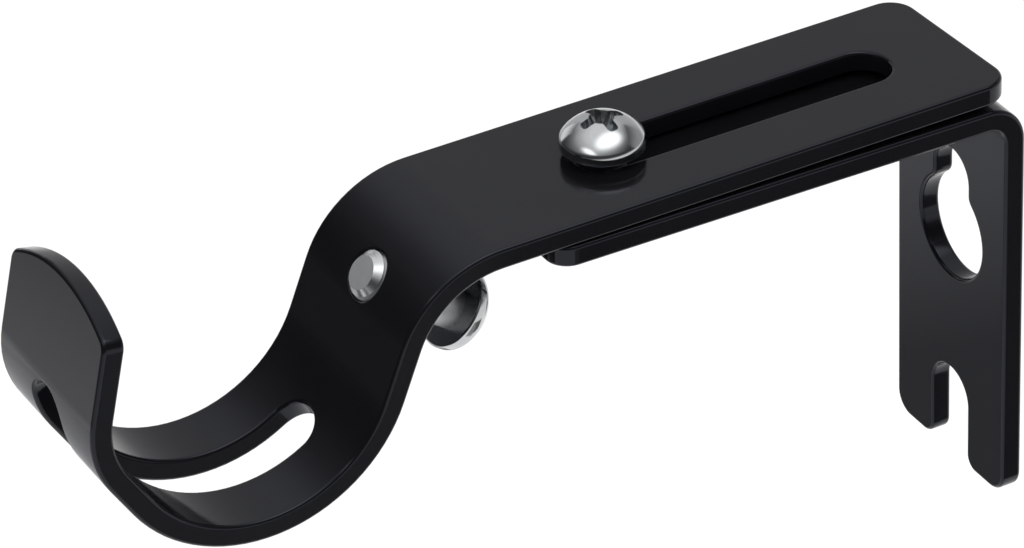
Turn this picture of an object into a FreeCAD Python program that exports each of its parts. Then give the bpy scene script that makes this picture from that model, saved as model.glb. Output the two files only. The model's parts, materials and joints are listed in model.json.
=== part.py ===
"""Adjustable curtain pole bracket: a wall bracket, a sliding hook arm and two screws.

Millimetres. +X runs along the pole, the wall is the plane Y = 0, the bracket reaches out towards -Y and
+Z is up. The origin lies on the wall face, on the centreline, between the keyhole and the fork slot.
"""
import FreeCAD, Part
import math
import os
import Sketcher
from FreeCAD import Placement, Rotation, Vector

# Driving sizes, in millimetres and degrees
SIZES = {
    # Both strips are cut from the same flat steel
    "strip_width": 20.0,
    "strip_thickness": 2.3,
    "strip_clearance": 0.1,
    # Wall bracket
    "leg_above_origin": 31.6,
    "leg_below_origin": 16.2,
    "bracket_reach": 53.6,
    "bracket_bend_inner": 2.0,
    "bracket_rise_angle": 0.8,
    "bracket_end_corner": 2.5,
    "prong_outer_corner": 2.4,
    "prong_inner_corner": 1.6,
    # Keyhole and fork slot in the wall leg
    "neck_above_origin": 17.9,
    "neck_width": 6.0,
    "neck_to_round_hole": 6.4,
    "round_hole_diameter": 11.2,
    "keyhole_shoulder": 1.4,
    "fork_seat_below_origin": 8.95,
    "fork_width": 6.5,
    # Hook arm
    "arm_setback": 1.4,
    "arm_end_corner": 2.9,
    "arm_end_skew": 2.4,
    "arm_straight": 58.0,
    "arm_bend_inner": 9.9,
    "arm_bend_angle": 67.6,
    "slant_length": 5.5,
    "cup_radius": 14.0,
    "cup_angle": 126.0,
    "front_length": 4.1,
    "lip_bend_inner": 8.6,
    "lip_bend_angle": 44.6,
    "lip_length": 8.2,
    "lip_crown": 2.65,
    "lip_corner": 1.5,
    # Slots in the hook arm
    "arm_slot_width": 6.0,
    "arm_travel": 29.7,
    "cup_slot_width": 6.0,
    "cup_slot_rear_angle": 48.0,
    "cup_slot_front_angle": 40.0,
    # Screws
    "screw_diameter": 5.0,
    "thread_clearance": 0.05,
    "head_diameter": 8.6,
    "head_rim": 1.1,
    "head_height": 3.4,
    "tip_chamfer": 0.5,
    "recess_span": 4.2,
    "recess_width": 1.1,
    "recess_depth": 1.7,
    "adjusting_screw_from_end": 10.9,
    "adjusting_screw_length": 10.0,
    "adjusting_head_gap": 0.9,
    "locking_screw_angle": 53.0,
    "locking_screw_length": 11.7,
    "locking_tip_stand_out": 0.6,
}

# How far a cut runs past the metal that it goes through
CUT_OVERRUN = 1.0

doc = FreeCAD.newDocument("curtain_pole_bracket")
sheet = doc.addObject("Spreadsheet::Sheet", "sizes")
for row, (alias, number) in enumerate(SIZES.items(), start=1):
    sheet.set("A%d" % row, alias)
    sheet.set("B%d" % row, str(number))
    sheet.setAlias("B%d" % row, alias)
doc.recompute()


def size(alias):
    """A driving size, read back from the sheet."""
    return float(sheet.get(alias))


# Heights and places that several pieces share
BRACKET_TOP = size("leg_above_origin")
ARM_UNDERSIDE = BRACKET_TOP + size("strip_clearance")
ARM_TOP = ARM_UNDERSIDE + size("strip_thickness")
THICKNESS = size("strip_thickness")
ADJUSTING_Y = size("adjusting_screw_from_end") - size("bracket_reach")
ARM_END_Y = -size("arm_setback")


def origin_plane(body, role):
    """One of the body's own origin planes, such as YZ_Plane."""
    return next(plane for plane in body.Origin.OriginFeatures if plane.Role == role)


def new_body(label):
    """An empty body whose label names the piece."""
    body = doc.addObject("PartDesign::Body", label)
    body.Label = label
    body.Placement = Placement()
    return body


def new_sketch(body, name, role, offset=None):
    """A sketch on one of the body's origin planes, moved and turned by an offset."""
    sketch = body.newObject("Sketcher::SketchObject", name)
    sketch.AttachmentSupport = [(origin_plane(body, role), "")]
    sketch.MapMode = "FlatFace"
    sketch.AttachmentOffset = offset or Placement()
    return sketch


def bind(sketch, expression, *constraint):
    """Add a driving dimension to the sketch and bind it to an expression on the sheet."""
    index = sketch.addConstraint(Sketcher.Constraint(*constraint))
    sketch.setExpression("Constraints[%d]" % index, expression)


def pad(body, name, sketch, length):
    """A pad of a length bound to the sheet, half of it on each side of the sketch."""
    feature = body.newObject("PartDesign::Pad", name)
    feature.Profile = sketch
    feature.SideType = "Symmetric"
    feature.setExpression("Length", length)
    doc.recompute()
    return feature


def pocket(body, name, sketch, length, both_ways=True):
    """A pocket of a length bound to the sheet; it must take metal away.

    It runs half to each side of the sketch, or all of it the way that the sketch faces.
    """
    before = body.Shape.Volume
    feature = body.newObject("PartDesign::Pocket", name)
    feature.Profile = sketch
    if both_ways:
        feature.SideType = "Symmetric"
    else:
        feature.Reversed = True
    feature.setExpression("Length", length)
    doc.recompute()
    if body.Shape.Volume > before - 0.5:
        raise RuntimeError("%s cuts nothing" % name)
    return feature


def round_corners(body, name, radius, is_corner):
    """Round the edges of the body that the test picks out."""
    tip = body.Tip
    names = ["Edge%d" % (i + 1) for i, edge in enumerate(tip.Shape.Edges) if is_corner(edge)]
    feature = body.newObject("PartDesign::Fillet", name)
    feature.Base = (tip, names)
    feature.setExpression("Radius", radius)
    doc.recompute()
    return feature


def runs_along(edge, direction):
    """Whether a straight edge is parallel to a direction."""
    if not isinstance(edge.Curve, Part.Line):
        return False
    return edge.Curve.Direction.cross(direction).Length < 1e-6


def draw_circle(sketch, diameter, y_expression=None, y=0.0):
    """A circle on the sketch's vertical axis, with its diameter and height bound to the sheet."""
    circle = sketch.addGeometry(Part.Circle(Vector(0, y, 0), Vector(0, 0, 1), 1.0))
    bind(sketch, diameter, "Diameter", circle, 2.0)
    if y_expression is None:
        sketch.addConstraint(Sketcher.Constraint("Coincident", circle, 3, -1, 1))
    else:
        sketch.addConstraint(Sketcher.Constraint("PointOnObject", circle, 3, -2))
        bind(sketch, y_expression, "DistanceY", -1, 1, circle, 3, y)


def draw_obround(sketch, width_expression, width, low, high):
    """A slot with round ends on the sketch's vertical axis.

    low and high are the centres of its round ends, each a pair of an expression and its value now.
    """
    r = width / 2
    (low_expression, y0), (high_expression, y1) = low, high
    top = sketch.addGeometry(Part.ArcOfCircle(Part.Circle(Vector(0, y1, 0), Vector(0, 0, 1), r), 0, math.pi))
    left = sketch.addGeometry(Part.LineSegment(Vector(-r, y1, 0), Vector(-r, y0, 0)))
    bottom = sketch.addGeometry(
        Part.ArcOfCircle(Part.Circle(Vector(0, y0, 0), Vector(0, 0, 1), r), math.pi, 2 * math.pi))
    right = sketch.addGeometry(Part.LineSegment(Vector(r, y0, 0), Vector(r, y1, 0)))
    for first, end, second, start in ((top, 2, left, 1), (left, 2, bottom, 1), (bottom, 2, right, 1),
                                      (right, 2, top, 1)):
        sketch.addConstraint(Sketcher.Constraint("Tangent", first, end, second, start))
    sketch.addConstraint(Sketcher.Constraint("Vertical", left))
    for arc in (top, bottom):
        sketch.addConstraint(Sketcher.Constraint("PointOnObject", arc, 3, -2))
    bind(sketch, width_expression + " / 2", "Radius", top, r)
    bind(sketch, low_expression, "DistanceY", -1, 1, bottom, 3, y0)
    bind(sketch, high_expression, "DistanceY", -1, 1, top, 3, y1)


# The wall bracket

def build_wall_bracket():
    """The L-shaped strip: wall leg with keyhole and fork, and the leg that carries the arm."""
    body = new_body("wall_bracket")
    inner = size("bracket_bend_inner")
    outer = inner + THICKNESS
    foot = -size("leg_below_origin")
    reach = -size("bracket_reach")

    # Side profile, drawn from the foot of the wall face up and round. The bend is a little open, so the
    # carrying leg rises to its free end and leaves a thin wedge of air under the arm by the wall.
    profile = new_sketch(body, "bracket_profile", "YZ_Plane")
    rise = math.radians(size("bracket_rise_angle"))
    turn = math.pi / 2 - rise
    out = Vector(-math.cos(rise), math.sin(rise), 0)
    normal = Vector(math.sin(rise), math.cos(rise), 0)
    axis = Vector(0, 0, 1)
    tip = Vector(reach, BRACKET_TOP, 0)
    run = (reach + outer * (1 - normal.x)) / out.x
    centre = tip - out * run - normal * outer
    back = profile.addGeometry(Part.LineSegment(Vector(0, foot, 0), Vector(0, centre.y, 0)))
    bend = profile.addGeometry(Part.ArcOfCircle(Part.Circle(centre, axis, outer), 0, turn))
    top = profile.addGeometry(Part.LineSegment(centre + normal * outer, tip))
    end = profile.addGeometry(Part.LineSegment(tip, tip - normal * THICKNESS))
    under = profile.addGeometry(Part.LineSegment(tip - normal * THICKNESS, centre + normal * inner))
    inside = profile.addGeometry(Part.ArcOfCircle(Part.Circle(centre, axis, inner), 0, turn))
    front = profile.addGeometry(Part.LineSegment(Vector(-THICKNESS, centre.y, 0), Vector(-THICKNESS, foot, 0)))
    sole = profile.addGeometry(Part.LineSegment(Vector(-THICKNESS, foot, 0), Vector(0, foot, 0)))
    joints = (
        ("Tangent", back, 2, bend, 1), ("Tangent", bend, 2, top, 1), ("Coincident", top, 2, end, 1),
        ("Coincident", end, 2, under, 1), ("Tangent", under, 2, inside, 2), ("Tangent", inside, 1, front, 1),
        ("Coincident", front, 2, sole, 1), ("Coincident", sole, 2, back, 1), ("Coincident", bend, 3, inside, 3),
        ("Vertical", back), ("Perpendicular", top, end), ("Horizontal", sole), ("PointOnObject", back, 1, -2))
    for joint in joints:
        profile.addConstraint(Sketcher.Constraint(*joint))
    bind(profile, "sizes.bracket_bend_inner", "Radius", inside, inner)
    bind(profile, "sizes.bracket_bend_inner + sizes.strip_thickness", "Radius", bend, outer)
    bind(profile, "-sizes.leg_below_origin", "DistanceY", -1, 1, back, 1, foot)
    bind(profile, "sizes.leg_above_origin", "DistanceY", -1, 1, top, 2, BRACKET_TOP)
    bind(profile, "-sizes.bracket_reach", "DistanceX", -1, 1, top, 2, reach)
    bind(profile, "90 deg - sizes.bracket_rise_angle * 1 deg", "Angle", bend, turn)
    pad(body, "bracket_strip", profile, "sizes.strip_width")

    # Keyhole: the round hole lets a screw head through, the neck above it holds the screw
    through_leg = "2 * (sizes.strip_thickness + %g)" % CUT_OVERRUN
    neck_z = size("neck_above_origin")
    round_z = neck_z - size("neck_to_round_hole")
    round_hole = "sizes.neck_above_origin - sizes.neck_to_round_hole"
    hole = new_sketch(body, "keyhole_round", "XZ_Plane")
    draw_circle(hole, "sizes.round_hole_diameter", round_hole, round_z)
    pocket(body, "keyhole_round_cut", hole, through_leg)
    neck = new_sketch(body, "keyhole_neck", "XZ_Plane")
    draw_obround(neck, "sizes.neck_width", size("neck_width"),
                 (round_hole, round_z), ("sizes.neck_above_origin", neck_z))
    pocket(body, "keyhole_neck_cut", neck, through_leg)

    # Fork slot, open at the bottom
    fork = new_sketch(body, "fork_slot", "XZ_Plane")
    width = size("fork_width")
    draw_obround(fork, "sizes.fork_width", width,
                 ("-sizes.leg_below_origin - sizes.fork_width", foot - width),
                 ("-sizes.fork_seat_below_origin", -size("fork_seat_below_origin")))
    pocket(body, "fork_slot_cut", fork, through_leg)

    # Tapped hole for the adjusting screw
    tapped = new_sketch(body, "adjusting_hole", "XY_Plane", Placement(Vector(0, 0, BRACKET_TOP), Rotation()))
    tapped.setExpression("AttachmentOffset.Base.z", "sizes.leg_above_origin")
    draw_circle(tapped, "sizes.screw_diameter + 2 * sizes.thread_clearance",
                "sizes.adjusting_screw_from_end - sizes.bracket_reach", ADJUSTING_Y)
    pocket(body, "adjusting_hole_cut", tapped, through_leg)

    def is_free_end(edge):
        return runs_along(edge, Vector(0, normal.x, normal.y)) and edge.CenterOfMass.y < reach + THICKNESS

    def is_prong_end(edge):
        return runs_along(edge, Vector(0, 1, 0)) and abs(edge.CenterOfMass.z - foot) < 1e-6

    def is_outer(edge):
        return abs(edge.CenterOfMass.x) > width

    def is_keyhole_shoulder(edge):
        return runs_along(edge, Vector(0, 1, 0)) and round_z + THICKNESS < edge.CenterOfMass.z < neck_z - 1e-6

    round_corners(body, "free_end_corners", "sizes.bracket_end_corner", is_free_end)
    round_corners(body, "prong_outer_corners", "sizes.prong_outer_corner",
                  lambda edge: is_prong_end(edge) and is_outer(edge))
    round_corners(body, "prong_inner_corners", "sizes.prong_inner_corner",
                  lambda edge: is_prong_end(edge) and not is_outer(edge))
    round_corners(body, "keyhole_shoulders", "sizes.keyhole_shoulder", is_keyhole_shoulder)
    return body


# The hook arm

class HookPath:
    """The upper and inner face of the hook arm, followed from its wall end to its crown.

    A heading of 0 degrees runs out along -Y and 90 degrees runs up. Each corner of the path is a point
    (y, z) of the face, and each bend has a centre.
    """

    def __init__(self):
        self.bend_radius = size("arm_bend_inner") + THICKNESS
        self.cup_radius = size("cup_radius")
        self.lip_radius = size("lip_bend_inner")
        self.slant = -size("arm_bend_angle")
        self.front = self.slant + size("cup_angle")
        self.lip = self.front + size("lip_bend_angle")
        self.wall_end = Vector(ARM_END_Y, ARM_TOP, 0)
        self.bend_start = self.step(self.wall_end, 0, size("arm_straight"))
        self.bend_centre = self.bend_start - self.up(0) * self.bend_radius
        self.bend_end = self.bend_centre + self.up(self.slant) * self.bend_radius
        self.cup_start = self.step(self.bend_end, self.slant, size("slant_length"))
        self.cup_centre = self.cup_start + self.up(self.slant) * self.cup_radius
        self.cup_end = self.cup_centre - self.up(self.front) * self.cup_radius
        self.lip_start = self.step(self.cup_end, self.front, size("front_length"))
        self.lip_centre = self.lip_start + self.up(self.front) * self.lip_radius
        self.lip_end = self.lip_centre - self.up(self.lip) * self.lip_radius
        self.crown = self.step(self.lip_end, self.lip, size("lip_length") + size("lip_crown"))

    @staticmethod
    def along(heading):
        """Unit vector (y, z) of a heading."""
        angle = math.radians(heading)
        return Vector(-math.cos(angle), math.sin(angle), 0)

    @staticmethod
    def up(heading):
        """Unit normal (y, z) of the face at a heading, on the side of the pole."""
        angle = math.radians(heading)
        return Vector(math.sin(angle), math.cos(angle), 0)

    def step(self, point, heading, length):
        """The point that lies a length further on."""
        return point + self.along(heading) * length


def draw_arm_profile(sketch, path):
    """Closed side profile of the hook arm, with the face of the path and the face behind it."""
    axis = Vector(0, 0, 1)

    def segment(start, end):
        return sketch.addGeometry(Part.LineSegment(start, end))

    def arc(centre, radius, start, end):
        """Arc about a centre from one point to another, counter-clockwise."""
        circle = Part.Circle(centre, axis, radius)
        first = math.atan2(start.y - centre.y, start.x - centre.x)
        last = math.atan2(end.y - centre.y, end.x - centre.x)
        return sketch.addGeometry(Part.ArcOfCircle(circle, first, last))

    def behind(point, heading):
        return point - path.up(heading) * THICKNESS

    face = (
        segment(path.wall_end, path.bend_start),
        arc(path.bend_centre, path.bend_radius, path.bend_start, path.bend_end),
        segment(path.bend_end, path.cup_start),
        arc(path.cup_centre, path.cup_radius, path.cup_end, path.cup_start),
        segment(path.cup_end, path.lip_start),
        arc(path.lip_centre, path.lip_radius, path.lip_end, path.lip_start),
        segment(path.lip_end, path.crown))
    rear = (
        segment(behind(path.wall_end, 0), behind(path.bend_start, 0)),
        arc(path.bend_centre, path.bend_radius - THICKNESS,
            behind(path.bend_start, 0), behind(path.bend_end, path.slant)),
        segment(behind(path.bend_end, path.slant), behind(path.cup_start, path.slant)),
        arc(path.cup_centre, path.cup_radius + THICKNESS,
            behind(path.cup_end, path.front), behind(path.cup_start, path.slant)),
        segment(behind(path.cup_end, path.front), behind(path.lip_start, path.front)),
        arc(path.lip_centre, path.lip_radius + THICKNESS,
            behind(path.lip_end, path.lip), behind(path.lip_start, path.front)),
        segment(behind(path.lip_end, path.lip), behind(path.crown, path.lip)))
    wall_end = segment(behind(path.wall_end, 0), path.wall_end)
    crown_end = segment(path.crown, behind(path.crown, path.lip))

    # The cup and the lip bend turn the other way, so their arcs are met at the opposite ends
    for run, bend, slant, cup, front, lip, upstand in (face, rear):
        for first, end, second, start in ((run, 2, bend, 1), (bend, 2, slant, 1), (slant, 2, cup, 2),
                                          (cup, 1, front, 1), (front, 2, lip, 2), (lip, 1, upstand, 1)):
            sketch.addConstraint(Sketcher.Constraint("Tangent", first, end, second, start))
    for first, end, second, start in ((wall_end, 2, face[0], 1), (wall_end, 1, rear[0], 1),
                                      (crown_end, 1, face[6], 2), (crown_end, 2, rear[6], 2)):
        sketch.addConstraint(Sketcher.Constraint("Coincident", first, end, second, start))
    for outer, inner in ((face[1], rear[1]), (face[3], rear[3]), (face[5], rear[5])):
        sketch.addConstraint(Sketcher.Constraint("Coincident", outer, 3, inner, 3))
    sketch.addConstraint(Sketcher.Constraint("Horizontal", face[0]))
    sketch.addConstraint(Sketcher.Constraint("Vertical", wall_end))
    sketch.addConstraint(Sketcher.Constraint("Perpendicular", crown_end, face[6]))

    top = "sizes.leg_above_origin + sizes.strip_clearance + sizes.strip_thickness"
    bind(sketch, "-sizes.arm_setback", "DistanceX", -1, 1, face[0], 1, ARM_END_Y)
    bind(sketch, top, "DistanceY", -1, 1, face[0], 1, ARM_TOP)
    bind(sketch, "sizes.arm_straight", "Distance", face[0], size("arm_straight"))
    bind(sketch, "sizes.strip_thickness", "Distance", wall_end, THICKNESS)
    bind(sketch, "sizes.arm_bend_inner", "Radius", rear[1], size("arm_bend_inner"))
    bind(sketch, "sizes.slant_length", "Distance", face[2], size("slant_length"))
    bind(sketch, "sizes.cup_radius", "Radius", face[3], path.cup_radius)
    bind(sketch, "sizes.front_length", "Distance", face[4], size("front_length"))
    bind(sketch, "sizes.lip_bend_inner", "Radius", face[5], path.lip_radius)
    bind(sketch, "sizes.lip_length + sizes.lip_crown", "Distance", face[6], (path.crown - path.lip_end).Length)
    for alias, bend in (("arm_bend_angle", face[1]), ("cup_angle", face[3]), ("lip_bend_angle", face[5])):
        bind(sketch, "sizes.%s * 1 deg" % alias, "Angle", bend, math.radians(size(alias)))


def tilted(point, turn):
    """Offset of a sketch that stands at (y, z) and is turned about X from the plan view, in degrees."""
    return Placement(Vector(0, point.x, point.y), Rotation(Vector(1, 0, 0), turn))


def build_hook_arm(path):
    """The long strip: slotted run, bend, cup and front upstand."""
    body = new_body("hook_arm")
    profile = new_sketch(body, "arm_profile", "YZ_Plane")
    draw_arm_profile(profile, path)
    doc.recompute()
    pad(body, "arm_strip", profile, "sizes.strip_width")

    # Long slot for the adjusting screw: it reaches from the screw back towards the wall by the travel
    slot = new_sketch(body, "arm_slot", "XY_Plane", Placement(Vector(0, 0, ARM_TOP), Rotation()))
    slot.setExpression("AttachmentOffset.Base.z",
                       "sizes.leg_above_origin + sizes.strip_clearance + sizes.strip_thickness")
    draw_obround(slot, "sizes.arm_slot_width", size("arm_slot_width"),
                 ("sizes.adjusting_screw_from_end - sizes.bracket_reach", ADJUSTING_Y),
                 ("sizes.adjusting_screw_from_end - sizes.bracket_reach + sizes.arm_travel",
                  ADJUSTING_Y + size("arm_travel")))
    pocket(body, "arm_slot_cut", slot, "2 * (sizes.strip_thickness + %g)" % CUT_OVERRUN)

    # Slot round the bottom of the cup, from its rear wall to the foot of the upstand
    half = size("cup_slot_width") / 2
    rear_turn = math.degrees(half / (path.cup_radius + THICKNESS / 2))
    front_turn = math.degrees(half / (path.lip_radius + THICKNESS / 2))
    rear_heading = size("cup_slot_rear_angle") - 90 + rear_turn
    front_heading = path.front + size("cup_slot_front_angle") - front_turn
    reach = path.cup_radius + THICKNESS + 4 * CUT_OVERRUN
    outline = [path.cup_centre]
    outline += [path.cup_centre - path.up(heading) * reach for heading in (rear_heading, 0, path.front / 2)]
    outline += [path.cup_end - path.up(path.front) * reach / 3]
    outline += [path.lip_centre - path.up(front_heading) * (path.lip_radius + THICKNESS + CUT_OVERRUN)]
    outline += [path.lip_centre]
    cup_slot = new_sketch(body, "cup_slot", "YZ_Plane")
    for start, end in zip(outline, outline[1:] + outline[:1]):
        cup_slot.addGeometry(Part.LineSegment(start, end))
    pocket(body, "cup_slot_cut", cup_slot, "sizes.cup_slot_width")
    for name, centre, heading, radius in (
            ("cup_slot_rear", path.cup_centre, rear_heading, "sizes.cup_radius"),
            ("cup_slot_front", path.lip_centre, front_heading, "sizes.lip_bend_inner")):
        end = new_sketch(body, name, "XY_Plane", tilted(centre, 180 - heading))
        draw_circle(end, "sizes.cup_slot_width")
        pocket(body, name + "_cut", end, "%s + sizes.strip_thickness + %g" % (radius, CUT_OVERRUN), False)

    # Tapped hole for the locking screw, square to the bend
    tapped = new_sketch(body, "locking_hole", "XY_Plane", tilted(path.bend_centre, size("locking_screw_angle")))
    tapped.setExpression("AttachmentOffset.Rotation.Angle", "sizes.locking_screw_angle * 1 deg")
    draw_circle(tapped, "sizes.screw_diameter + 2 * sizes.thread_clearance")
    pocket(body, "locking_hole_cut", tapped,
           "sizes.arm_bend_inner + sizes.strip_thickness + %g" % CUT_OVERRUN, False)

    # Crown of the upstand: an arc over the full width, trimmed from the square end
    crown = new_sketch(body, "crown", "XY_Plane", tilted(path.crown, 180 - path.lip))
    half_width = size("strip_width") / 2
    rise = size("lip_crown")
    radius = (half_width ** 2 + rise ** 2) / (2 * rise)
    side = half_width + CUT_OVERRUN
    drop = math.sqrt(radius ** 2 - side ** 2) - radius
    half_sweep = math.asin(side / radius)
    circle = Part.Circle(Vector(0, -radius, 0), Vector(0, 0, 1), radius)
    crown.addGeometry(Part.ArcOfCircle(circle, math.pi / 2 - half_sweep, math.pi / 2 + half_sweep))
    corners = (Vector(-side, drop, 0), Vector(-side, CUT_OVERRUN, 0), Vector(side, CUT_OVERRUN, 0),
               Vector(side, drop, 0))
    for start, end in zip(corners, corners[1:]):
        crown.addGeometry(Part.LineSegment(start, end))
    pocket(body, "crown_cut", crown, "4 * sizes.strip_thickness")

    # The wall end was sheared a little out of square
    shear = new_sketch(body, "wall_end_shear", "XY_Plane", Placement(Vector(0, 0, ARM_TOP), Rotation()))
    side = half_width + CUT_OVERRUN
    lean = side * math.tan(math.radians(size("arm_end_skew")))
    corners = (Vector(-side, ARM_END_Y - 2 * lean, 0), Vector(side, ARM_END_Y, 0),
               Vector(side, ARM_END_Y + CUT_OVERRUN, 0), Vector(-side, ARM_END_Y + CUT_OVERRUN, 0))
    for start, end in zip(corners, corners[1:] + corners[:1]):
        shear.addGeometry(Part.LineSegment(start, end))
    pocket(body, "wall_end_cut", shear, "2 * (sizes.strip_thickness + %g)" % CUT_OVERRUN)

    def is_wall_end(edge):
        return runs_along(edge, Vector(0, 0, 1)) and edge.CenterOfMass.y > ARM_END_Y - 3 * lean

    through = path.up(path.lip)

    def is_crown_corner(edge):
        return runs_along(edge, Vector(0, through.x, through.y)) and edge.CenterOfMass.z > path.lip_end.y

    round_corners(body, "wall_end_corners", "sizes.arm_end_corner", is_wall_end)
    round_corners(body, "crown_corners", "sizes.lip_corner", is_crown_corner)
    return body


# The screws

def build_screw(label, length_alias, placement):
    """A pan head screw with a cross recess, head up, with the origin under its head."""
    body = new_body(label)
    shank = size("screw_diameter") / 2
    head = size("head_diameter") / 2
    rim = size("head_rim")
    height = size("head_height")
    chamfer = size("tip_chamfer")
    length = size(length_alias)
    rise = height - rim
    crown = (head ** 2 + rise ** 2) / (2 * rise)

    # Half profile in the plane X-Z, from the middle of the crown round to the tip
    half = new_sketch(body, label + "_profile", "XZ_Plane")
    half_angle = math.asin(head / crown)
    dome = half.addGeometry(Part.ArcOfCircle(
        Part.Circle(Vector(0, height - crown, 0), Vector(0, 0, 1), crown), math.pi / 2 - half_angle, math.pi / 2))
    points = (Vector(head, rim, 0), Vector(head, 0, 0), Vector(shank, 0, 0), Vector(shank, chamfer - length, 0),
              Vector(shank - chamfer, -length, 0), Vector(0, -length, 0), Vector(0, height, 0))
    lines = [half.addGeometry(Part.LineSegment(a, b)) for a, b in zip(points, points[1:])]
    edge, seat, side, bevel, tip, axis = lines
    for first, second in zip(lines, lines[1:]):
        half.addConstraint(Sketcher.Constraint("Coincident", first, 2, second, 1))
    for constraint in (("Coincident", dome, 1, edge, 1), ("Coincident", dome, 2, axis, 2), ("Vertical", edge),
                       ("Horizontal", seat), ("Vertical", side), ("Horizontal", tip), ("PointOnObject", axis, 1, -2),
                       ("PointOnObject", axis, 2, -2), ("PointOnObject", dome, 3, -2),
                       ("PointOnObject", seat, 1, -1)):
        half.addConstraint(Sketcher.Constraint(*constraint))
    bind(half, "sizes.head_diameter / 2", "DistanceX", -1, 1, edge, 2, head)
    bind(half, "sizes.head_rim", "DistanceY", edge, 2, edge, 1, rim)
    bind(half, "sizes.head_height", "DistanceY", -1, 1, axis, 2, height)
    bind(half, "sizes.screw_diameter / 2", "DistanceX", -1, 1, side, 1, shank)
    bind(half, "sizes." + length_alias, "DistanceY", axis, 1, -1, 1, length)
    bind(half, "sizes.tip_chamfer", "DistanceY", bevel, 2, bevel, 1, chamfer)
    bind(half, "sizes.tip_chamfer", "DistanceX", bevel, 2, bevel, 1, chamfer)
    turned = body.newObject("PartDesign::Revolution", label + "_turned")
    turned.Profile = half
    turned.ReferenceAxis = (half, ["V_Axis"])
    turned.Angle = 360
    doc.recompute()

    # Cross recess
    span = size("recess_span") / 2
    width = size("recess_width") / 2
    cross = new_sketch(body, label + "_cross", "XY_Plane", Placement(Vector(0, 0, height), Rotation()))
    cross.setExpression("AttachmentOffset.Base.z", "sizes.head_height")
    quarter = (Vector(width, width, 0), Vector(width, span, 0), Vector(-width, span, 0))
    outline = []
    for turn in range(4):
        rotation = Rotation(Vector(0, 0, 1), 90 * turn)
        outline += [rotation.multVec(corner) for corner in quarter]
    for start, end in zip(outline, outline[1:] + outline[:1]):
        cross.addGeometry(Part.LineSegment(start, end))
    pocket(body, label + "_recess", cross, "2 * sizes.recess_depth")
    body.Placement = placement
    return body


arm_path = HookPath()
wall_bracket = build_wall_bracket()
hook_arm = build_hook_arm(arm_path)

adjusting_screw = build_screw(
    "adjusting_screw", "adjusting_screw_length",
    Placement(Vector(0, ADJUSTING_Y, ARM_TOP + size("adjusting_head_gap")), Rotation()))

# The locking screw stands square to the bend, with its head behind the arm and its tip by the pole
locking_angle = size("locking_screw_angle")
under_head = arm_path.bend_radius + size("locking_tip_stand_out") - size("locking_screw_length")
locking_base = arm_path.bend_centre + arm_path.up(-locking_angle) * under_head
pole_locking_screw = build_screw(
    "pole_locking_screw", "locking_screw_length",
    Placement(Vector(0, locking_base.x, locking_base.y), Rotation(Vector(1, 0, 0), locking_angle - 180)))

doc.recompute()
pieces = (wall_bracket, hook_arm, adjusting_screw, pole_locking_screw)

# Nothing is written unless every object worked and every piece is one closed solid
failed = [item.Label for item in doc.Objects if "Invalid" in item.State or "Error" in item.State]
if failed:
    raise RuntimeError("failed: %s" % ", ".join(failed))
for piece in pieces:
    shape = piece.Shape
    if shape.isNull() or not shape.isValid() or len(shape.Solids) != 1:
        raise RuntimeError("%s is not one valid solid" % piece.Label)

os.makedirs("parts", exist_ok=True)
for piece in pieces:
    piece.Shape.exportStep("parts/%s.step" % piece.Label)
    box = piece.Shape.BoundBox
    print("%-20s volume %8.1f mm3  x %.2f..%.2f  y %.2f..%.2f  z %.2f..%.2f" % (
        piece.Label, piece.Shape.Volume, box.XMin, box.XMax, box.YMin, box.YMax, box.ZMin, box.ZMax))
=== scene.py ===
"""Adjustable curtain pole bracket, dressed for a studio photograph.

A black coated steel bracket holds a sliding hook arm. Two plated pan head screws go through them: one sets
how far the arm reaches, the other locks the pole in the cup. Metres, in the frame of the solids: +X runs
along the pole, the wall is the plane Y = 0, the bracket reaches out along -Y and +Z is up.
"""
import json
import logging
import math
from dataclasses import dataclass
from enum import Enum

import bmesh
import bpy
from mathutils import Matrix, Vector


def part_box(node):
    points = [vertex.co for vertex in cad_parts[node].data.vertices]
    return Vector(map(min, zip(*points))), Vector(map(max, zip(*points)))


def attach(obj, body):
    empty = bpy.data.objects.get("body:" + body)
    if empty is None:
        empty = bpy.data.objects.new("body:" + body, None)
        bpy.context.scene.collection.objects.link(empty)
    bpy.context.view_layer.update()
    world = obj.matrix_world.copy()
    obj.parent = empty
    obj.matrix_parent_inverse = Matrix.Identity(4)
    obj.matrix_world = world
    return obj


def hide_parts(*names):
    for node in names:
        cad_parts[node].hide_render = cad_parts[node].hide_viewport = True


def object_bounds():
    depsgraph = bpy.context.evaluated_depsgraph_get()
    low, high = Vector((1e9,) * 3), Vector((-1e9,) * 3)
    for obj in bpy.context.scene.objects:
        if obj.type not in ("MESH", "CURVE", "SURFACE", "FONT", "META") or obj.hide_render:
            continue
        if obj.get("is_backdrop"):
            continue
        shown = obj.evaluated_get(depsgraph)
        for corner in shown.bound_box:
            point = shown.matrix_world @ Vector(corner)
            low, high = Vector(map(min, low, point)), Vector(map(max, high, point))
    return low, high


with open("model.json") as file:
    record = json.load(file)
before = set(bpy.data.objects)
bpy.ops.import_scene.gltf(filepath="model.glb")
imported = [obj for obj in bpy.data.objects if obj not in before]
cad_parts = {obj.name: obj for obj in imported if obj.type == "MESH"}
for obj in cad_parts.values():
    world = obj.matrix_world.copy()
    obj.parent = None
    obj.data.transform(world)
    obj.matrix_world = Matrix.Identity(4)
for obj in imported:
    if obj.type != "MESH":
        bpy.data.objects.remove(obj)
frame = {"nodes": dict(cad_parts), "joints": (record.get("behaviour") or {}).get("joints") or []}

MM = 0.001
IMAGE_WIDTH = 1024
WHITE = "#ffffff"

# The colour sockets of a Mix node, by place: their names repeat for every kind of value.
MIX_FIRST = 6
MIX_SECOND = 7
MIX_RESULT = 2

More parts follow.
